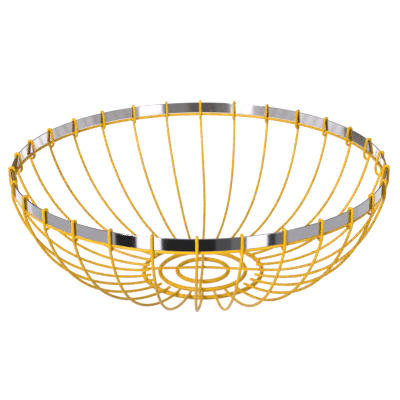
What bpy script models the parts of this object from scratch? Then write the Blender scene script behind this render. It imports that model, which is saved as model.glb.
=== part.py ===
"""A round wire basket.

Thirty round wire ribs rise from three flat base rings to a rim.  At the rim each rib is hooked over a flat
steel hoop and round the wire ring under it.  Twenty-eight ribs end just inside the outer base ring.  Two ribs
run on across the whole base, one from the rear and one from the right, and hold the two smaller base rings.
The base sits a little to the right of the rim's middle, so the ribs lean a little to the right.

Metres, +Z up.  The basket stands on z = 0, its rim is centred on the Z axis, and its front is towards -Y.
"""

import math

import bmesh
import bpy

# The rim: a flat steel hoop, and under it a round wire ring.  The radius is that of the hoop's middle line.
RIM_RADIUS = 0.150
RIM_RING_HEIGHT = 0.089
RIM_WIRE = 0.0024
BAND_HEIGHT = 0.0095
BAND_THICKNESS = 0.0010

# The base: three rings of round wire, flat on the table, a little to the right of the rim's middle.
BASE_WIRE = 0.0035
OUTER_BASE_RADIUS = 0.0495
MIDDLE_BASE_RADIUS = 0.0358
INNER_BASE_RADIUS = 0.0213
BASE_OFFSET = 0.0025

# The ribs: round wire, evenly spaced.
RIB_COUNT = 30
RIB_WIRE = 0.0022
TIP_OVERHANG = 0.0045
FAR_END_OVERHANG = 0.0005

# The sweep of a rib from the rim to the base.  Half way it bows a little aside, clockwise seen from above.
RIM_LEAN = math.radians(15.0)
RIB_BOW = math.radians(1.3)
UPPER_PULL = 0.072
LOWER_PULL = 0.031

# The hook at the top of a rib.
KNEE_DROP = 0.0015
CURL_DROP = 0.0022

# Where the two long ribs cross, the rear one steps over the side one in a low hump.
HUMP_REACH = 0.012

# Wires that touch on the real basket keep this gap.
SEAT_GAP = 0.0003

# How finely round shapes are cut.
RING_STEPS = 2 * RIB_COUNT
RING_SIDES = 8
SWEEP_STEPS = 12
BEND_STEPS = 3
CURL_STEPS = 4
HUMP_STEPS = 8

# Sizes that follow from the ones above.
RIB_RADIUS = RIB_WIRE / 2
BASE_RIB_HEIGHT = BASE_WIRE + SEAT_GAP + RIB_RADIUS
BAND_FOOT = RIM_RING_HEIGHT + RIM_WIRE / 2 + SEAT_GAP
BAND_TOP = BAND_FOOT + BAND_HEIGHT
BEND_RADIUS = SEAT_GAP + RIB_RADIUS
OUTER_LEG = RIM_RADIUS + BAND_THICKNESS / 2 + BEND_RADIUS
RIM_RING_RADIUS = OUTER_LEG - BEND_RADIUS - RIM_WIRE / 2
INNER_LEG = RIM_RING_RADIUS - RIM_WIRE / 2 - BEND_RADIUS
KNEE_HEIGHT = RIM_RING_HEIGHT - KNEE_DROP
TIP_RADIUS = OUTER_BASE_RADIUS - TIP_OVERHANG
FAR_END_RADIUS = OUTER_BASE_RADIUS + FAR_END_OVERHANG
SIDE_STEP = RIB_WIRE + SEAT_GAP
RIB_SPACING = 2 * math.pi / RIB_COUNT
STEP_TURN = math.asin(SIDE_STEP / TIP_RADIUS)


def clear_scene():
    for old in list(bpy.data.objects):
        bpy.data.objects.remove(old, do_unlink=True)


def metal(name, colour, metallic, roughness):
    material = bpy.data.materials.new(name)
    material.use_nodes = True
    shader = material.node_tree.nodes["Principled BSDF"]
    shader.inputs["Base Color"].default_value = (*colour, 1.0)
    shader.inputs["Metallic"].default_value = metallic
    shader.inputs["Roughness"].default_value = roughness
    return material


def place(name, data, basket, turn=0.0):
    """Add an object to the basket, turned about the basket's axis."""
    piece = bpy.data.objects.new(name, data)
    piece.rotation_euler.z = turn
    piece.parent = basket
    bpy.context.scene.collection.objects.link(piece)
    return piece


def turned_ring(name, outline, material):
    """Turn a closed outline of (radius, height) points about the Z axis."""
    bm = bmesh.new()
    corners = [bm.verts.new((radius, 0, height)) for radius, height in outline]
    sides = [bm.edges.new((a, b)) for a, b in zip(corners, corners[1:] + corners[:1])]
    bmesh.ops.spin(
        bm,
        geom=corners + sides,
        cent=(0, 0, 0),
        axis=(0, 0, 1),
        angle=2 * math.pi,
        steps=RING_STEPS,
        use_merge=True,
    )
    bmesh.ops.recalc_face_normals(bm, faces=bm.faces)
    mesh = bpy.data.meshes.new(name)
    bm.to_mesh(mesh)
    bm.free()
    mesh.materials.append(material)
    mesh.shade_smooth()
    mesh.set_sharp_from_angle(angle=math.radians(50))
    return mesh


def wire_section(radius, height, diameter):
    """A round wire's section, with flats at its top, bottom and sides."""
    reach = diameter / 2 / math.cos(math.pi / RING_SIDES)
    outline = []
    for side in range(RING_SIDES):
        angle = 2 * math.pi * (side + 0.5) / RING_SIDES
        outline.append((radius + reach * math.cos(angle), height + reach * math.sin(angle)))
    return outline


def band_section():
    """The flat hoop's section: a thin upright strip."""
    outside = RIM_RADIUS + BAND_THICKNESS / 2
    inside = RIM_RADIUS - BAND_THICKNESS / 2
    return [(outside, BAND_FOOT), (outside, BAND_TOP), (inside, BAND_TOP), (inside, BAND_FOOT)]


def bent_wire(name, points, diameter, material):
    """A round wire along a list of points, cut square at both ends."""
    curve = bpy.data.curves.new(name, "CURVE")
    curve.dimensions = "3D"
    curve.fill_mode = "FULL"
    curve.bevel_depth = diameter / 2
    curve.bevel_resolution = 1
    curve.use_fill_caps = True
    curve.render_resolution_u = 0
    spline = curve.splines.new("POLY")
    spline.points.add(len(points) - 1)
    for point, (x, y, z) in zip(spline.points, points):
        point.co = (x, y, z, 1)
    spline.use_smooth = True
    curve.materials.append(material)
    return curve


def sweep():
    """The rib's side, from the outer base ring up to the knee below the rim: one cubic curve."""
    foot = (OUTER_BASE_RADIUS, BASE_RIB_HEIGHT)
    foot_pull = (OUTER_BASE_RADIUS + LOWER_PULL, BASE_RIB_HEIGHT)
    knee = (OUTER_LEG, KNEE_HEIGHT)
    knee_pull = (
        OUTER_LEG - UPPER_PULL * math.sin(RIM_LEAN),
        KNEE_HEIGHT - UPPER_PULL * math.cos(RIM_LEAN),
    )
    points = []
    for step in range(SWEEP_STEPS + 1):
        t = step / SWEEP_STEPS
        weights = ((1 - t) ** 3, 3 * (1 - t) ** 2 * t, 3 * (1 - t) * t**2, t**3)
        ends = (foot, foot_pull, knee_pull, knee)
        radius = sum(weight * end[0] for weight, end in zip(weights, ends))
        height = sum(weight * end[1] for weight, end in zip(weights, ends))
        points.append((radius, height))
    return points


def hook():
    """The rib's top: over the hoop's two upper corners, down inside it, and out again under the rim ring."""
    points = []
    for side, start in ((1, 0), (-1, math.pi / 2)):
        corner = RIM_RADIUS + side * BAND_THICKNESS / 2
        for step in range(BEND_STEPS + 1):
            angle = start + math.pi / 2 * step / BEND_STEPS
            points.append((corner + BEND_RADIUS * math.cos(angle), BAND_TOP + BEND_RADIUS * math.sin(angle)))
    curl_end_height = KNEE_HEIGHT - CURL_DROP
    rib_there = OUTER_LEG - CURL_DROP * math.tan(RIM_LEAN)
    curl_end = rib_there - BEND_RADIUS / math.cos(RIM_LEAN) - RIB_RADIUS * math.tan(RIM_LEAN)
    for step in range(CURL_STEPS + 1):
        angle = math.pi / 2 * step / CURL_STEPS
        radius = curl_end - (curl_end - INNER_LEG) * math.cos(angle)
        height = RIM_RING_HEIGHT - (RIM_RING_HEIGHT - curl_end_height) * math.sin(angle)
        points.append((radius, height))
    return points


def short_foot():
    """The end of a short rib, just inside the outer base ring."""
    return [(TIP_RADIUS, 0, BASE_RIB_HEIGHT)]


def long_foot(hump, far_turn):
    """A long rib's way across the base: it bends aside at its middle and ends beside a rib of the far side."""
    across = -FAR_END_RADIUS * math.cos(far_turn)
    aside = -FAR_END_RADIUS * math.sin(far_turn)
    points = [(across, aside, BASE_RIB_HEIGHT)]
    for step in range(HUMP_STEPS + 1):
        share = 2 * step / HUMP_STEPS - 1
        x = HUMP_REACH * share
        rise = hump * math.cos(math.pi / 2 * share) ** 2
        points.append((x, math.tan(far_turn) * min(0, x), BASE_RIB_HEIGHT + rise))
    return points


def leaned(points, turn):
    """Points moved with the base rings, from not at all at the rim to all the way at the base, and bowed."""
    moved = []
    for x, y, z in points:
        share = min(1, (OUTER_LEG - x) / (OUTER_LEG - OUTER_BASE_RADIUS))
        offset = BASE_OFFSET * share
        bow = 4 * RIB_BOW * share * (1 - share)
        along = x * math.cos(bow) + y * math.sin(bow)
        aside = y * math.cos(bow) - x * math.sin(bow)
        moved.append((along + offset * math.cos(turn), aside - offset * math.sin(turn), z))
    return moved


def rib(foot, turn):
    """A whole rib, as it lies before it is turned to its place: foot, sweep and hook."""
    side = [(radius, 0, height) for radius, height in sweep()]
    top = [(radius, 0, height) for radius, height in hook()]
    return leaned(foot + side, turn) + top


def build():
    clear_scene()
    basket = bpy.data.objects.new("basket", None)
    bpy.context.scene.collection.objects.link(basket)
    steel = metal("bright_steel", (0.70, 0.70, 0.72), 1.0, 0.08)
    gold = metal("golden_paint", (0.90, 0.56, 0.06), 0.35, 0.32)

    place("rim_band", turned_ring("rim_band", band_section(), steel), basket)
    rim_section = wire_section(RIM_RING_RADIUS, RIM_RING_HEIGHT, RIM_WIRE)
    place("rim_ring", turned_ring("rim_ring", rim_section, gold), basket)
    base_rings = {
        "base_ring_outer": OUTER_BASE_RADIUS,
        "base_ring_middle": MIDDLE_BASE_RADIUS,
        "base_ring_inner": INNER_BASE_RADIUS,
    }
    for name, radius in base_rings.items():
        section = wire_section(radius, BASE_WIRE / 2, BASE_WIRE)
        ring = place(name, turned_ring(name, section, gold), basket)
        ring.location.x = BASE_OFFSET

    # The ribs are numbered from the front, round by the right, the rear and the left.
    rear_index = RIB_COUNT // 2
    side_index = RIB_COUNT // 4
    number = 0
    for index in range(RIB_COUNT):
        turn = -math.pi / 2 + RIB_SPACING * index
        if index == rear_index:
            name = "cross_rib_rear"
            foot = long_foot(RIB_WIRE + SEAT_GAP, -STEP_TURN)
        elif index == side_index:
            name = "cross_rib_side"
            foot = long_foot(0.0, RIB_SPACING - STEP_TURN)
        else:
            number += 1
            name = f"rib_{number:02d}"
            foot = short_foot()
        place(name, bent_wire(name, rib(foot, turn), RIB_WIRE, gold), basket, turn)


build()
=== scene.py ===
# %% [markdown]
# # A round wire basket
#
# This lesson dresses a wire fruit basket. It has thirty ribs of thin painted wire, a bright steel hoop with
# a heavier wire ring under it, and three wire rings that it stands on. A plain model of it was packed
# before, and it gives the frame: each new piece is built in the place of a plain one.
#
# The places could be typed in again by hand. Loading the frame is safer, because both models then share one
# origin and one scale, in metres, and nothing has to be fitted afterwards.

# %% Load the frame
import math

import bmesh
import bpy
from mathutils import Matrix, Vector


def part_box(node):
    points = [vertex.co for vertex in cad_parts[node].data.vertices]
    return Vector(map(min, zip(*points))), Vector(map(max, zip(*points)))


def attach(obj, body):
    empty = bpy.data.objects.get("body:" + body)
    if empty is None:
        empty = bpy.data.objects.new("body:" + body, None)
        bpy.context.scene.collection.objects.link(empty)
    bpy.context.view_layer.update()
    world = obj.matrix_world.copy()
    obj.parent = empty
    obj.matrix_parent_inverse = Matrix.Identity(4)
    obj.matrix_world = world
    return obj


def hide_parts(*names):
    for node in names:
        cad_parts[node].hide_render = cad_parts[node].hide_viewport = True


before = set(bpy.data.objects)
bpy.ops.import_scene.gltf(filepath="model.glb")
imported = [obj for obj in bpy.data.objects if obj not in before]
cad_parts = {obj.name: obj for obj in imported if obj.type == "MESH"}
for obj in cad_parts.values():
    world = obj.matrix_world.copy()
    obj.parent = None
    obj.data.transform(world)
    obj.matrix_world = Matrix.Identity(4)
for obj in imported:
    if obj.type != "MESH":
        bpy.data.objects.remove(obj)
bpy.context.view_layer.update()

MM = 0.001
print("Plain pieces:", len(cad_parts))

# %% [markdown]
# ## Sizes that the frame knows
#
# A ring's box says all about the ring. Its height is the wire's thickness, its width less one thickness is
# twice the radius of the wire's middle line, and its middle says where the ring sits. So no ring's size is
# written here a second time.
#
# The hoop is a flat strip, so its box gives its height and how far its outer face reaches, but not how thick
# it is. That one size is named here.

# %% Read the rings and the hoop
HOOP_THICKNESS = 1.0 * MM


def ring_sizes(node):
    """The radius and height of a ring's middle line, and its wire's thickness."""
    low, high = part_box(node)
    thickness = high.z - low.z
    return (high.x - low.x - thickness) / 2, (high.z + low.z) / 2, thickness


def ring_offset(node):
    """How far a ring's middle lies to the right of the basket's axis."""
    low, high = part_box(node)
    return (high.x + low.x) / 2


rim_radius, rim_height, rim_wire = ring_sizes("rim_ring")
outer_radius, _, base_wire = ring_sizes("base_ring_outer")
middle_radius = ring_sizes("base_ring_middle")[0]
inner_radius = ring_sizes("base_ring_inner")[0]
base_offset = ring_offset("base_ring_outer")
hoop_low, hoop_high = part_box("rim_band")
hoop_radius = hoop_high.x - HOOP_THICKNESS / 2
print("Radii of rim and base rings, mm:", [
    round(radius / MM, 2) for radius in (rim_radius, outer_radius, middle_radius, inner_radius)
])
print("Hoop radius and height, mm:", round(hoop_radius / MM, 2), round((hoop_high.z - hoop_low.z) / MM, 2))

# %% [markdown]
# ## Building a material from nodes
#
# Every finish here is a tree of nodes, with no pictures. A tree of nodes has no resolution and needs no
# unwrapping, which suits thin wire: a picture would have to be wrapped round thirty long tubes.
#
# The helpers below add a node with its settings and fill its inputs, so that each material's own cell only
# says what is special about that material.

# %% Helpers for node trees
def new_material(name):
    """An empty finish, as its node tree and its Principled shader."""
    material = bpy.data.materials.new(name)
    material.use_nodes = True
    return material, material.node_tree, material.node_tree.nodes["Principled BSDF"]


def add_node(tree, kind, inputs=None, **settings):
    """Add a node. An input is given a plain value, or the output socket that it is linked to."""
    node = tree.nodes.new(kind)
    for key, value in settings.items():
        setattr(node, key, value)
    for key, value in (inputs or {}).items():
        if isinstance(value, bpy.types.NodeSocket):
            tree.links.new(value, node.inputs[key])
        else:
            node.inputs[key].default_value = value
    return node


def blend_colours(tree, share, first, second):
    """A colour between two colours, as a share says."""
    ramp = add_node(tree, "ShaderNodeValToRGB", {"Fac": share})
    for element, colour in zip(ramp.color_ramp.elements, (first, second)):
        element.color = (*colour, 1.0)
    return ramp.outputs["Color"]


def stretch(tree, share, low, high, new_low, new_high):
    """A share between low and high, stretched to new limits."""
    limits = {"From Min": low, "From Max": high, "To Min": new_low, "To Max": new_high}
    return add_node(tree, "ShaderNodeMapRange", {"Value": share, **limits}).outputs["Result"]


def calculate(tree, operation, first, second):
    """The result of one step of arithmetic."""
    return add_node(tree, "ShaderNodeMath", {0: first, 1: second}, operation=operation).outputs[0]

# %% [markdown]
# ## Golden paint
#
# The ribs and rings are steel wire with a glossy golden yellow paint. Paint on wire is never quite even: it
# gathers and thins over a few centimetres, and from close by its skin has a fine grain.
#
# One colour with a gloss would look like plastic cord. So slow noise moves the colour a little between a
# deeper and a lighter gold, and fine noise moves the roughness and lifts the surface by a hair. Noise seldom
# leaves the middle of its range, so the middle is stretched to the limits that are wanted. The numbers that
# are the same all over sit on the shader itself.

# %% Golden paint
PAINT_DEEP = (0.84, 0.43, 0.003)
PAINT_LIGHT = (0.95, 0.54, 0.005)
PAINT_DRIFT_SCALE = 45
PAINT_GRAIN_SCALE = 1400
PAINT_GRAIN_HEIGHT = 0.02 * MM
PAINT_ROUGHNESS = (0.26, 0.38)
NOISE_MIDDLE = (0.3, 0.7)


def golden_paint():
    material, tree, shader = new_material("golden_paint")
    place = add_node(tree, "ShaderNodeTexCoord").outputs["Object"]
    drift = add_node(
        tree, "ShaderNodeTexNoise", {"Vector": place, "Scale": PAINT_DRIFT_SCALE, "Detail": 3}
    ).outputs["Fac"]
    grain = add_node(
        tree, "ShaderNodeTexNoise", {"Vector": place, "Scale": PAINT_GRAIN_SCALE, "Detail": 2}
    ).outputs["Fac"]
    bump = add_node(
        tree, "ShaderNodeBump", {"Height": grain, "Strength": 0.6, "Distance": PAINT_GRAIN_HEIGHT}
    ).outputs["Normal"]
    even_drift = stretch(tree, drift, *NOISE_MIDDLE, 0.0, 1.0)
    tree.links.new(blend_colours(tree, even_drift, PAINT_DEEP, PAINT_LIGHT), shader.inputs["Base Color"])
    tree.links.new(stretch(tree, grain, *NOISE_MIDDLE, *PAINT_ROUGHNESS), shader.inputs["Roughness"])
    tree.links.new(bump, shader.inputs["Normal"])
    shader.inputs["Specular IOR Level"].default_value = 0.2
    shader.inputs["Coat Weight"].default_value = 0.08
    shader.inputs["Coat Roughness"].default_value = 0.08
    return material


paint = golden_paint()
print("Paint nodes:", len(paint.node_tree.nodes))

# %% [markdown]
# ## Cut wire ends
#
# Each wire is cut to length, and the paint hardly covers a cut face. In the photograph the ends inside the
# outer base ring look dark. They get a dull brownish steel with a coarse grain, as shears leave it.

# %% Cut steel
CUT_DARK = (0.055, 0.040, 0.022)
CUT_PALE = (0.19, 0.14, 0.075)
CUT_GRAIN_SCALE = 2200
CUT_ROUGHNESS = (0.42, 0.62)


def cut_steel():
    material, tree, shader = new_material("cut_steel")
    place = add_node(tree, "ShaderNodeTexCoord").outputs["Object"]
    grain = add_node(
        tree, "ShaderNodeTexNoise", {"Vector": place, "Scale": CUT_GRAIN_SCALE, "Detail": 4}
    ).outputs["Fac"]
    tree.links.new(blend_colours(tree, grain, CUT_DARK, CUT_PALE), shader.inputs["Base Color"])
    tree.links.new(stretch(tree, grain, *NOISE_MIDDLE, *CUT_ROUGHNESS), shader.inputs["Roughness"])
    shader.inputs["Metallic"].default_value = 0.7
    return material


cut_end = cut_steel()
print("Cut end nodes:", len(cut_end.node_tree.nodes))

# %% [markdown]
# ## Bright steel
#
# The hoop is a polished strip, rolled from a coil. Rolling leaves faint lines along the strip, and they
# smear its mirror image a little.
#
# In the photograph the outside is nearly a mirror, and the inside looks a little duller. So the inside gets
# a little more roughness. The distance from the basket's axis tells the two faces apart.
#
# Noise in plain x, y and z would give blotches. So the place on the hoop is first turned into a distance
# along the strip and a height up it, and the noise is stretched a hundredfold along the strip. The angle
# jumps once on its way round, and that jump is put at the rear, where a rib's hook covers it.

# %% Bright steel
STEEL_DEEP = (0.37, 0.365, 0.385)
STEEL_LIGHT = (0.45, 0.445, 0.465)
STREAKS_ALONG = 28
STREAKS_ACROSS = 2800
MIRROR_ROUGHNESS = (0.05, 0.10)
INSIDE_EXTRA_ROUGHNESS = 0.03


def bright_steel():
    material, tree, shader = new_material("bright_steel")
    place = add_node(tree, "ShaderNodeTexCoord").outputs["Object"]
    parts = add_node(tree, "ShaderNodeSeparateXYZ", {"Vector": place}).outputs
    towards_front = calculate(tree, "MULTIPLY", parts["Y"], -1.0)
    angle = calculate(tree, "ARCTAN2", parts["X"], towards_front)
    along = calculate(tree, "MULTIPLY", angle, hoop_radius * STREAKS_ALONG)
    across = calculate(tree, "MULTIPLY", parts["Z"], STREAKS_ACROSS)
    strip_place = add_node(tree, "ShaderNodeCombineXYZ", {"X": along, "Y": across}).outputs["Vector"]
    streaks = add_node(
        tree, "ShaderNodeTexNoise", {"Vector": strip_place, "Scale": 1.0, "Detail": 4}
    ).outputs["Fac"]
    even_streaks = stretch(tree, streaks, *NOISE_MIDDLE, 0.0, 1.0)
    tree.links.new(blend_colours(tree, even_streaks, STEEL_DEEP, STEEL_LIGHT), shader.inputs["Base Color"])
    flat_place = add_node(tree, "ShaderNodeCombineXYZ", {"X": parts["X"], "Y": parts["Y"]}).outputs["Vector"]
    reach = add_node(tree, "ShaderNodeVectorMath", {0: flat_place}, operation="LENGTH").outputs["Value"]
    core = (hoop_radius - HOOP_THICKNESS / 4, hoop_radius + HOOP_THICKNESS / 4)
    inside = stretch(tree, reach, *core, INSIDE_EXTRA_ROUGHNESS, 0.0)
    polish = stretch(tree, streaks, *NOISE_MIDDLE, *MIRROR_ROUGHNESS)
    roughness = calculate(tree, "ADD", polish, inside)
    tree.links.new(roughness, shader.inputs["Roughness"])
    shader.inputs["Metallic"].default_value = 1.0
    return material


steel = bright_steel()
print("Steel nodes:", len(steel.node_tree.nodes))

# %% [markdown]
# ## Putting a piece in its place
#
# Every new piece does three things: it joins the scene, rides on the basket's one body, and hides the plain
# pieces that it stands for. One helper does all three, so none is forgotten.
#
# The basket is welded and bent into one rigid thing, so everything rides on the same body.

# %% Helpers that add a piece and finish its mesh
SHARP_ANGLE = math.radians(40)


def add_piece(name, mesh, slot, *plain_nodes):
    """Add a mesh as a piece of the basket, in the place of some plain pieces."""
    piece = bpy.data.objects.new(name, mesh)
    bpy.context.scene.collection.objects.link(piece)
    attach(piece, "root")
    if plain_nodes:
        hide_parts(*plain_nodes)
    return piece


def finish_mesh(bm, name, materials):
    """Turn a bmesh into a mesh that is shaded smooth, except over sharp edges."""
    bmesh.ops.recalc_face_normals(bm, faces=bm.faces)
    mesh = bpy.data.meshes.new(name)
    bm.to_mesh(mesh)
    bm.free()
    for material in materials:
        mesh.materials.append(material)
    mesh.shade_smooth()
    mesh.set_sharp_from_angle(angle=SHARP_ANGLE)
    return mesh

# %% [markdown]
# ## A length of round wire
#
# A wire could be a curve with a round bevel, a circle swept along a path, or a skin over edges. The curve is
# the shortest way: it takes the points of the path, a thickness, and flat caps for the cut ends. A smaller
# radius at the first and last point rounds the burr off each end.
#
# The curve is then turned into a mesh, because a curve can't give its two caps a material of their own. The
# caps are easy to find: they are the only faces with more than four corners.

# %% A helper that bends wire
BURR = 0.15 * MM
BURR_SHARE = 0.86


def bent_wire(name, path, thickness):
    """A round wire along a path of points, with dark cut ends, as a mesh."""
    first, last = Vector(path[0]), Vector(path[-1])
    first_inside = first + (Vector(path[1]) - first).normalized() * BURR
    last_inside = last + (Vector(path[-2]) - last).normalized() * BURR
    places = [first, first_inside, *path[1:-1], last_inside, last]
    curve = bpy.data.curves.new(name, "CURVE")
    curve.dimensions = "3D"
    curve.bevel_depth = thickness / 2
    curve.bevel_resolution = 5
    curve.use_fill_caps = True
    spline = curve.splines.new("POLY")
    spline.points.add(len(places) - 1)
    for point, place in zip(spline.points, places):
        point.co = (*place, 1.0)
    spline.points[0].radius = spline.points[-1].radius = BURR_SHARE
    spline.use_smooth = True
    guide = bpy.data.objects.new(name + "_guide", curve)
    mesh = bpy.data.meshes.new_from_object(guide)
    bpy.data.objects.remove(guide)
    bpy.data.curves.remove(curve)
    mesh.name = name
    mesh.materials.clear()
    mesh.materials.append(paint)
    mesh.materials.append(cut_end)
    for face in mesh.polygons:
        face.material_index = 1 if len(face.vertices) > 4 else 0
    mesh.set_sharp_from_angle(angle=SHARP_ANGLE)
    return mesh

# %% [markdown]
# ## The line of a rib
#
# Seen from the side, a rib is one long sweep from the base to the rim and a small hook at the top. The sweep
# is a cubic curve with two ends and two pulls: level where it lies on the base ring, and leaning outwards
# where it meets the rim. A circle doesn't fit, because the real wire is nearly straight near the rim and
# bends most near the base.
#
# The corner where the sweep turns into the upright leg is a short curve as well, since wire never bends with
# a sharp corner. The plain model keeps a third of a millimetre between wires that touch. Here they come
# within a hair of each other, because a gap that wide would show as a light line.

# %% The sweep
RIB_WIRE = 2.2 * MM
SEAT_GAP = 0.05 * MM
RIM_LEAN = math.radians(15)
UPPER_PULL = 72 * MM
LOWER_PULL = 31 * MM
TIP_OVERHANG = 4.5 * MM
KNEE_DROP = 1.5 * MM
KNEE_BEND = 3 * MM
KNEE_STEPS = 5
SWEEP_STEPS = 44

seat = SEAT_GAP + RIB_WIRE / 2
outer_leg = hoop_high.x + seat
inner_leg = rim_radius - rim_wire / 2 - seat
rib_height = base_wire + seat
knee = Vector((outer_leg, rim_height - KNEE_DROP))


def bezier(places, steps):
    """Points along a curve whose ends and pulls are given."""
    degree = len(places) - 1
    points = []
    for step in range(steps + 1):
        t = step / steps
        shares = [math.comb(degree, k) * t**k * (1 - t) ** (degree - k) for k in range(degree + 1)]
        points.append(sum((share * place for share, place in zip(shares, places)), Vector((0, 0))))
    return points


def sweep():
    """The rib's side from the outer base ring to the foot of its upright leg, in radius and height."""
    foot = Vector((outer_radius, rib_height))
    lean = Vector((math.sin(RIM_LEAN), math.cos(RIM_LEAN)))
    places = (foot, foot + Vector((LOWER_PULL, 0)), knee - lean * UPPER_PULL, knee)
    points = [point for point in bezier(places, SWEEP_STEPS) if (knee - point).length > KNEE_BEND]
    corner = (knee - lean * KNEE_BEND, knee, knee + Vector((0, KNEE_BEND)))
    return points + bezier(corner, KNEE_STEPS)


print("Sweep points:", len(sweep()))
print("From radius, mm:", round(outer_radius / MM, 1), "to:", round(outer_leg / MM, 1))

# %% [markdown]
# ## The hook
#
# The hook goes up outside the hoop, tightly over its two upper corners, down inside, and curls out again
# under the rim ring until its cut tip meets the rib. So it is a quarter circle round each corner of the hoop,
# a leaning inner leg, and a quarter of an ellipse under the ring.
#
# No two hooks of a basket like this are bent quite alike. In the photograph nearly all sit tight, and two at
# the right end of the rim are looser: their inner legs lean inwards and their curls hang lower. A looseness
# between 0 and 1 says how far a hook is from the tight one.

# %% The hook
CURL_DROP = 2.2 * MM
LOOSE_LEAN = 1.2 * MM
LOOSE_DROP = 4.0 * MM
BEND_STEPS = 7
LEG_STEPS = 6
CURL_STEPS = 10


def hook(looseness):
    """The hook from the top of the outer leg to its cut tip, in the plane of radius and height."""
    points = []
    for side, start in ((1, 0), (-1, math.pi / 2)):
        corner = hoop_radius + side * HOOP_THICKNESS / 2
        for step in range(BEND_STEPS + 1):
            angle = start + math.pi / 2 * step / BEND_STEPS
            points.append(Vector((corner + seat * math.cos(angle), hoop_high.z + seat * math.sin(angle))))
    top = points[-1]
    foot = Vector((inner_leg - LOOSE_LEAN * looseness, rim_height))
    points += [top.lerp(foot, step / LEG_STEPS) for step in range(1, LEG_STEPS)]
    tip_height = knee.y - CURL_DROP - LOOSE_DROP * looseness
    rib_there = outer_leg - (knee.y - tip_height) * math.tan(RIM_LEAN)
    tip_radius = rib_there - seat / math.cos(RIM_LEAN) - RIB_WIRE / 2 * math.tan(RIM_LEAN)
    for step in range(CURL_STEPS + 1):
        angle = math.pi / 2 * step / CURL_STEPS
        points.append(Vector((
            tip_radius - (tip_radius - foot.x) * math.cos(angle),
            rim_height - (rim_height - tip_height) * math.sin(angle),
        )))
    return points


print("Hook points:", len(hook(0)))
print("Top of the hook, mm:", round((hoop_high.z + seat + RIB_WIRE / 2) / MM, 1))

# %% [markdown]
# ## A rib in its place
#
# Each rib is drawn in one plane and then turned about the basket's axis. But the base rings are welded on a
# little to the right of the rim's middle, and the ribs' feet are welded to the rings. So each rib leans a
# little: its foot moves as far as the rings do, its hook stays, and a point between them moves by its share.
#
# In the photograph each rib also bows a little aside half way, clockwise seen from above. Perhaps the hooks
# were pulled tight after the feet were welded. The lean and the bow together open the front rib into the
# narrow loop that the photograph shows.

# %% A helper that leans, bows and turns a rib
RIB_BOW = math.radians(1.3)


def in_place(foot, turn, looseness=0):
    """The points of a whole rib in its place: foot, sweep and hook."""
    placed = []
    for x, y, z in foot + [(point.x, 0, point.y) for point in sweep()]:
        share = min(1, (outer_leg - x) / (outer_leg - outer_radius))
        bow = 4 * RIB_BOW * share * (1 - share)
        shift = Vector((base_offset * share, 0, 0))
        placed.append(Matrix.Rotation(turn - bow, 3, "Z") @ Vector((x, y, z)) + shift)
    for point in hook(looseness):
        placed.append(Matrix.Rotation(turn, 3, "Z") @ Vector((point.x, 0, point.y)))
    return placed


print("The base lies to the right by, mm:", round(base_offset / MM, 1))

# %% [markdown]
# ## Twenty-eight short ribs
#
# The ribs stand evenly round the rim, one every twelve degrees. They could be one mesh with an array
# modifier, but each is a piece of its own on the real basket and has its own hook. A loop bends each one and
# puts it in its place. Two places are left for the long ribs: one at the rear and one at the right.

# %% The short ribs
RIB_COUNT = 30
RIB_SPACING = 2 * math.pi / RIB_COUNT
REAR_INDEX = RIB_COUNT // 2
SIDE_INDEX = RIB_COUNT // 4
LOOSEST_INDEX = 8
LOOSE_RIBS = 2


def rib_turn(index):
    """The angle of a rib round the basket, counted from the front."""
    return -math.pi / 2 + RIB_SPACING * index


def looseness_of(index):
    """The first loose hook is the loosest, and each one after it is closer to a tight one."""
    past_loosest = index - LOOSEST_INDEX
    return 1 - past_loosest / LOOSE_RIBS if 0 <= past_loosest < LOOSE_RIBS else 0


short_indexes = [index for index in range(RIB_COUNT) if index not in (REAR_INDEX, SIDE_INDEX)]
for number, index in enumerate(short_indexes, start=1):
    path = in_place([(outer_radius - TIP_OVERHANG, 0, rib_height)], rib_turn(index), looseness_of(index))
    mesh = bent_wire(f"short_rib_{number:02d}", path, RIB_WIRE)
    add_piece(f"short_rib_{number:02d}", mesh, "golden_paint", f"rib_{number:02d}")
print("Short ribs:", len(short_indexes))

# %% [markdown]
# ## Two long ribs
#
# Two wires run on across the base and carry the two smaller rings. Near the middle each bends a little aside,
# so that its end comes to lie beside a rib of the far side and not on top of it. Where they cross, the wire
# from the rear steps over the other in a low hump.
#
# Each ends just past the outer ring. The hump is a squared cosine, because that rises from the straight wire
# and comes back to it with no corner.

# %% The long ribs
FAR_END_OVERHANG = 0.5 * MM
HUMP_REACH = 12 * MM
HUMP_STEPS = 24

step_turn = math.asin((RIB_WIRE + SEAT_GAP) / (outer_radius - TIP_OVERHANG))
far_turns = {REAR_INDEX: -step_turn, SIDE_INDEX: RIB_SPACING - step_turn}


def long_rib(index, hump):
    """A rib that runs on across the base to the far side of the outer ring."""
    far_turn = far_turns[index]
    far_end = outer_radius + FAR_END_OVERHANG
    points = [(-far_end * math.cos(far_turn), -far_end * math.sin(far_turn), rib_height)]
    for step in range(HUMP_STEPS + 1):
        share = 2 * step / HUMP_STEPS - 1
        x = HUMP_REACH * share
        rise = hump * math.cos(math.pi / 2 * share) ** 2
        points.append((x, math.tan(far_turn) * min(0, x), rib_height + rise))
    return in_place(points, rib_turn(index))


rear_path = long_rib(REAR_INDEX, RIB_WIRE + SEAT_GAP)
side_path = long_rib(SIDE_INDEX, 0)
add_piece("long_rib_rear", bent_wire("long_rib_rear", rear_path, RIB_WIRE), "golden_paint", "cross_rib_rear")
add_piece("long_rib_side", bent_wire("long_rib_side", side_path, RIB_WIRE), "golden_paint", "cross_rib_side")
print("Long rib, mm:", round(sum((b - a).length for a, b in zip(rear_path, rear_path[1:])) / MM))

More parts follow.
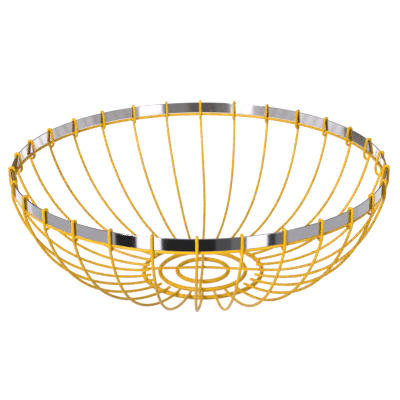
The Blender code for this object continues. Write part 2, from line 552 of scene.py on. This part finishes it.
# %% [markdown]
# ## Rings of wire
#
# The rim ring and the three base rings are plain rings of thicker wire. A torus would do, but its two
# segment counts are easy to get wrong. Spinning a circle about the upright axis does the same with the wire's
# own thickness and radius as its values, and the same helper then spins the hoop.

# %% The wire rings
RING_STEPS = 180
RING_SIDES = 16


def spun(name, outline, materials, offset=0.0):
    """Spin a closed outline of radius and height about an upright axis, this far right of the basket's."""
    bm = bmesh.new()
    corners = [bm.verts.new((radius, 0, height)) for radius, height in outline]
    sides = [bm.edges.new(pair) for pair in zip(corners, corners[1:] + corners[:1])]
    bmesh.ops.spin(
        bm,
        geom=corners + sides,
        cent=(0, 0, 0),
        axis=(0, 0, 1),
        angle=2 * math.pi,
        steps=RING_STEPS,
        use_merge=True,
    )
    bmesh.ops.translate(bm, verts=bm.verts, vec=(offset, 0, 0))
    return finish_mesh(bm, name, materials)


def arc(centre, radius, start, end, steps):
    """Points of radius and height on a round stretch of an outline."""
    points = []
    for step in range(steps + 1):
        angle = start + (end - start) * step / steps
        points.append((centre[0] + radius * math.cos(angle), centre[1] + radius * math.sin(angle)))
    return points


for name, node in (
    ("rim_wire", "rim_ring"),
    ("foot_wire_outer", "base_ring_outer"),
    ("foot_wire_middle", "base_ring_middle"),
    ("foot_wire_inner", "base_ring_inner"),
):
    radius, height, thickness = ring_sizes(node)
    outline = arc((radius, height), thickness / 2, 0, 2 * math.pi, RING_SIDES)[:-1]
    add_piece(name, spun(name, outline, [paint], ring_offset(node)), "golden_paint", node)
    print(name, "radius, mm:", round(radius / MM, 1), "thickness, mm:", round(thickness / MM, 1))

# %% [markdown]
# ## The hoop
#
# The hoop is a strip of steel, so its edges are rounded by the rolling and never sharp. Those rounded edges
# matter more than their size: each one catches a thin line of light or dark all the way round, and that line
# is what shows where the strip ends against a white background.
#
# The outline is a tall thin rectangle with a quarter circle at each corner, spun about the same axis. Smooth
# shading blends the surface's direction from row to row, and over one tall face it would turn a flat mirror
# into a curved one. So each upright side has two more rows, close to its corners, that hold the blend there.

# %% The hoop
HOOP_EDGE = 0.22 * MM
HOOP_HOLD = 0.12 * MM
EDGE_STEPS = 4


def hoop_outline():
    """The strip's section in radius and height, from its outer top corner over to the inside and round."""
    half_width = HOOP_THICKNESS / 2 - HOOP_EDGE
    top, bottom = hoop_high.z - HOOP_EDGE, hoop_low.z + HOOP_EDGE
    inner_face, outer_face = hoop_radius - HOOP_THICKNESS / 2, hoop_radius + HOOP_THICKNESS / 2
    held_rows = {
        1: [(inner_face, top - HOOP_HOLD), (inner_face, bottom + HOOP_HOLD)],
        3: [(outer_face, bottom + HOOP_HOLD), (outer_face, top - HOOP_HOLD)],
    }
    points = []
    for side, (across, height) in enumerate(((1, top), (-1, top), (-1, bottom), (1, bottom))):
        start = math.pi / 2 * side
        corner = (hoop_radius + across * half_width, height)
        points += arc(corner, HOOP_EDGE, start, start + math.pi / 2, EDGE_STEPS)
        points += held_rows.get(side, [])
    return points


hoop = add_piece("bright_hoop", spun("bright_hoop", hoop_outline(), [steel]), "bright_steel", "rim_band")
print("Hoop faces:", len(hoop.data.polygons))

# %% [markdown]
# ## Welds
#
# The photograph is too coarse to show how the wires are joined, but baskets of this kind are spot welded: at
# the base wherever a rib lies on a ring, and at the rim where each rib crosses the rim ring. A spot weld
# presses the two wires a little into each other, and the squeezed metal stands out round the crossing as a
# low bead, under the same paint.
#
# A boolean union with a rounded seam would be exact and slow. A bead is so small that a flattened ball, sunk
# between the two wires, has the same outline.

# %% A helper for weld beads
BEAD_BASE = Vector((1.75, 1.60, 0.75)) * MM
BEAD_RIM = Vector((0.55, 1.45, 1.20)) * MM
BEAD_DETAIL = 3


def weld_beads(name, places, half_sizes, offset=0.0):
    """One mesh of flattened balls, each at an angle round a ring, a radius and a height."""
    bm = bmesh.new()
    for direction, radius, height in places:
        spot = (
            Matrix.Translation((offset, 0, 0))
            @ Matrix.Rotation(direction, 4, "Z")
            @ Matrix.Translation((radius, 0, height))
            @ Matrix.Diagonal((*half_sizes, 1.0))
        )
        bmesh.ops.create_icosphere(bm, subdivisions=BEAD_DETAIL, radius=1.0, matrix=spot)
    return finish_mesh(bm, name, [paint])

# %% The welds at the base and at the rim
weld_height = base_wire + SEAT_GAP / 2
base_places = [(rib_turn(index), outer_radius, weld_height) for index in range(RIB_COUNT)]
for index, far_turn in far_turns.items():
    near, far = rib_turn(index), rib_turn(index) + math.pi + far_turn
    base_places.append((far, outer_radius, weld_height))
    for radius in (middle_radius, inner_radius):
        base_places += [(near, radius, weld_height), (far, radius, weld_height)]
base_places.append((rib_turn(REAR_INDEX), 0, rib_height + (RIB_WIRE + SEAT_GAP) / 2))
base_beads = weld_beads("base_welds", base_places, BEAD_BASE, base_offset)
add_piece("base_welds", base_beads, "golden_paint")

rim_weld_radius = rim_radius + rim_wire / 2 + SEAT_GAP / 2
rim_places = [(rib_turn(index), rim_weld_radius, rim_height) for index in range(RIB_COUNT)]
add_piece("rim_welds", weld_beads("rim_welds", rim_places, BEAD_RIM), "golden_paint")
print("Welds at the base:", len(base_places), "and at the rim:", len(rim_places))

# %% [markdown]
# ## Floor and light
#
# The photograph has a plain white ground. Lamps that are strong enough to burn the floor out to white would
# also burn out the paint. So the lamps stay at a plain level, and the floor and the world are made whiter for
# the rays that look at them, and for no others. The rays that carry light to the basket see the plain level,
# and the basket's shadow stays on the floor. Under soft lamps, wires this thin cast hardly any.
#
# A polished hoop shows the room, so mirror rays are treated like camera rays: they see the same white world.
# The floor itself is hidden from them, because what the hoop reflects is built lower down, past the floor.

# %% Rays that look at the ground
WORLD_LEVEL = 0.21
FLOOR_GREY = 0.30
FLOOR_LIFT = 0.90
FLOOR_HALF = 4.0
FLOOR_DROP = 0.05 * MM


def looking_rays(tree):
    """1 for rays from the camera and from mirrors and glass, 0 for rays that carry light."""
    path = add_node(tree, "ShaderNodeLightPath").outputs
    seen = path["Is Camera Ray"]
    for other in ("Is Glossy Ray", "Is Transmission Ray"):
        seen = calculate(tree, "MAXIMUM", seen, path[other])
    return seen


def white_world():
    world = bpy.data.worlds.new("white_room")
    world.use_nodes = True
    background = world.node_tree.nodes["Background"]
    background.inputs["Color"].default_value = (1.0, 1.0, 1.0, 1.0)
    level = stretch(world.node_tree, looking_rays(world.node_tree), 0.0, 1.0, WORLD_LEVEL, 1.0)
    world.node_tree.links.new(level, background.inputs["Strength"])
    return world


bpy.context.scene.world = white_world()

# %% The floor
def floor_material():
    material, tree, shader = new_material("pale_floor")
    shader.inputs["Base Color"].default_value = (FLOOR_GREY, FLOOR_GREY, FLOOR_GREY, 1.0)
    shader.inputs["Roughness"].default_value = 1.0
    shader.inputs["Specular IOR Level"].default_value = 0.0
    shader.inputs["Emission Color"].default_value = (1.0, 1.0, 1.0, 1.0)
    lift = stretch(tree, looking_rays(tree), 0.0, 1.0, 0.0, FLOOR_LIFT)
    tree.links.new(lift, shader.inputs["Emission Strength"])
    return material


def floor():
    bm = bmesh.new()
    bmesh.ops.create_grid(bm, x_segments=1, y_segments=1, size=FLOOR_HALF)
    bmesh.ops.translate(bm, verts=bm.verts, vec=(0, 0, -FLOOR_DROP))
    return finish_mesh(bm, "floor", [floor_material()])


ground = bpy.data.objects.new("floor", floor())
bpy.context.scene.collection.objects.link(ground)
ground.visible_glossy = False

# %% [markdown]
# ## The lamps
#
# Three wide soft lamps light the basket: one on each side of the camera and one behind the basket. The left
# one is the strongest, so that the wires have a lit side and a shaded side. They stand low, because light
# from high up would make the flat base rings brighter than the ribs, and in the photograph the ribs are the
# brighter ones.
#
# The lamp behind the basket is hidden from mirror rays. In the rounded edge of the hoop it would wipe out the
# thin dark line that parts the steel from the white ground.

# %% The lamps
LAMP_SIZE = 0.8
LAMP_TARGET = Vector((0, 0, 0.05))
LAMPS = (
    ("key_lamp", (-1.0, -1.6, 0.85), 35.0),
    ("fill_lamp", (1.3, -1.4, 0.75), 9.5),
    ("back_lamp", (0.5, 1.9, 0.65), 18.0),
)


def soft_lamp(name, place, watts):
    lamp = bpy.data.lights.new(name, "AREA")
    lamp.size = LAMP_SIZE
    lamp.energy = watts
    holder = bpy.data.objects.new(name, lamp)
    holder.location = place
    holder.rotation_euler = (LAMP_TARGET - Vector(place)).to_track_quat("-Z", "Y").to_euler()
    behind = place[1] > 0
    holder.visible_glossy = not behind
    bpy.context.scene.collection.objects.link(holder)


for lamp_values in LAMPS:
    soft_lamp(*lamp_values)
print("Lamps:", len(LAMPS))

# %% [markdown]
# ## What the hoop reflects
#
# A polished strip has hardly any colour of its own, and what makes it look like steel is what stands round
# it. In the photograph it is nearly black in the middle of the front, with a white stripe on each side of
# the black, and a soft grey further round. A dark room with two lit windows behind the camera would look so.
#
# The same is done here with curved cards round the basket, each between two compass angles, counted from the
# front towards the right. They stand below the floor's level, because a camera that looks down at an upright
# mirror sees the reflection go down too. The front of the hoop is nearer to the camera and reflects the lower
# row of cards, and the inside of its rear reflects the upper row.
#
# The last two cards reach high above the floor. The flat faces never reflect them, but the rounded top edge
# does, and they draw the thin dark line along it. They also keep the gloss on the paint dark, so that its
# colour stays full. Only mirror rays see the cards, so they stay out of the picture and throw no light or
# shade on the basket.

# %% The cards
CARD_RADIUS = 6.0
CARD_STEP = 3.0
CARD_COLOUR = (0.98, 0.97, 1.0, 1.0)
FRONT_ROW = (-6.0, -2.25)
REAR_ROW = (-2.25, -0.3)
TOP_ROW = (1.5, 4.8)
ROOM = (-0.3, 7.0)
CARDS = (
    ("front_left_window", -36, -21.5, FRONT_ROW, 2.5),
    ("front_right_window", 28, 40.5, FRONT_ROW, 2.5),
    ("front_middle_black", -21.5, 10, FRONT_ROW, 0.04),
    ("front_near_grey", 10, 19, FRONT_ROW, 0.17),
    ("front_far_grey", 19, 28, FRONT_ROW, 0.32),
    ("front_left_black", -49.5, -36, FRONT_ROW, 0.03),
    ("front_right_black", 40.5, 45.5, FRONT_ROW, 0.08),
    ("front_right_grey", 45.5, 53, FRONT_ROW, 0.38),
    ("front_left_side", -110, -49.5, FRONT_ROW, 0.90),
    ("front_right_side", 53, 110, FRONT_ROW, 0.90),
    ("front_left_end", -155, -118, FRONT_ROW, 1.5),
    ("front_right_end", 125, 155, FRONT_ROW, 1.3),
    ("rear_left_window", -36, -21, REAR_ROW, 3.2),
    ("rear_right_window", 25, 40.5, REAR_ROW, 3.2),
    ("rear_middle_grey", -11, 8, REAR_ROW, 0.24),
    ("rear_left_grey", -21, -11, REAR_ROW, 0.42),
    ("rear_right_grey", 8, 25, REAR_ROW, 0.50),
    ("rear_left_flank", -66, -36, REAR_ROW, 1.15),
    ("rear_right_flank", 40.5, 75, REAR_ROW, 0.98),
    ("rear_right_side", 75, 110, REAR_ROW, 1.30),
    ("rear_left_side", -109, -66, REAR_ROW, 1.75),
    ("rear_left_dark", -135, -109, REAR_ROW, 0.28),
    ("rear_left_end", -172, -142, REAR_ROW, 2.4),
    ("rear_right_end", 110, 158, REAR_ROW, 2.2),
    ("rear_top_dark", 110, 250, TOP_ROW, 0.05),
    ("front_room", -100, 100, ROOM, 0.12),
)


def card_material(name, strength):
    material = bpy.data.materials.new(name)
    material.use_nodes = True
    tree = material.node_tree
    tree.nodes.clear()
    glow = add_node(tree, "ShaderNodeEmission", {"Color": CARD_COLOUR, "Strength": strength})
    output = add_node(tree, "ShaderNodeOutputMaterial")
    tree.links.new(glow.outputs["Emission"], output.inputs["Surface"])
    return material


def card(name, start, end, heights, strength):
    bm = bmesh.new()
    steps = math.ceil((end - start) / CARD_STEP)
    columns = []
    for step in range(steps + 1):
        angle = math.radians(start + (end - start) * step / steps)
        x, y = CARD_RADIUS * math.sin(angle), -CARD_RADIUS * math.cos(angle)
        columns.append([bm.verts.new((x, y, height)) for height in heights])
    for (a, b), (c, d) in zip(columns, columns[1:]):
        bm.faces.new((a, c, d, b))
    board = bpy.data.objects.new(name, finish_mesh(bm, name, [card_material(name, strength)]))
    bpy.context.scene.collection.objects.link(board)
    board.visible_camera = board.visible_diffuse = board.visible_shadow = False
    board.visible_transmission = False


for card_values in CARDS:
    card(*card_values)
print("Cards:", len(CARDS))

# %% [markdown]
# ## The camera
#
# The rim is a circle seen as an ellipse. How flat that ellipse is gives the height of the camera, and how
# much larger the front half is than the rear half gives its distance. The photograph's ellipse fits a camera
# 0.96 m away and 21.1 degrees up, with a fairly long lens.
#
# The camera aims a little below the middle of the rim, so that the whole basket sits in the middle of the
# picture, as it does in the photograph. It also stands a little to the right, because the front rib shows
# just left of the middle there, and it hangs half a degree crooked.

# %% The camera
CAMERA_DISTANCE = 0.960
CAMERA_ELEVATION = math.radians(21.1)
CAMERA_PITCH = math.radians(23.01)
CAMERA_ORBIT = math.radians(0.7)
CAMERA_ROLL = math.radians(-0.52)
CAMERA_LENS = 106.9
CAMERA_SHIFT = (0.0020, 0.0014)

eye = bpy.data.cameras.new("camera")
eye.lens = CAMERA_LENS
eye.shift_x, eye.shift_y = CAMERA_SHIFT
camera = bpy.data.objects.new("camera", eye)
bpy.context.scene.collection.objects.link(camera)
camera.matrix_world = (
    Matrix.Translation((0, 0, hoop_high.z))
    @ Matrix.Rotation(CAMERA_ORBIT, 4, "Z")
    @ Matrix.Rotation(-CAMERA_ELEVATION, 4, "X")
    @ Matrix.Translation((0, -CAMERA_DISTANCE, 0))
    @ Matrix.Rotation(CAMERA_ELEVATION - CAMERA_PITCH + math.pi / 2, 4, "X")
    @ Matrix.Rotation(CAMERA_ROLL, 4, "Z")
)
bpy.context.scene.camera = camera
bpy.context.scene.view_settings.view_transform = "Standard"
print("Camera at, m:", [round(value, 3) for value in camera.matrix_world.translation])
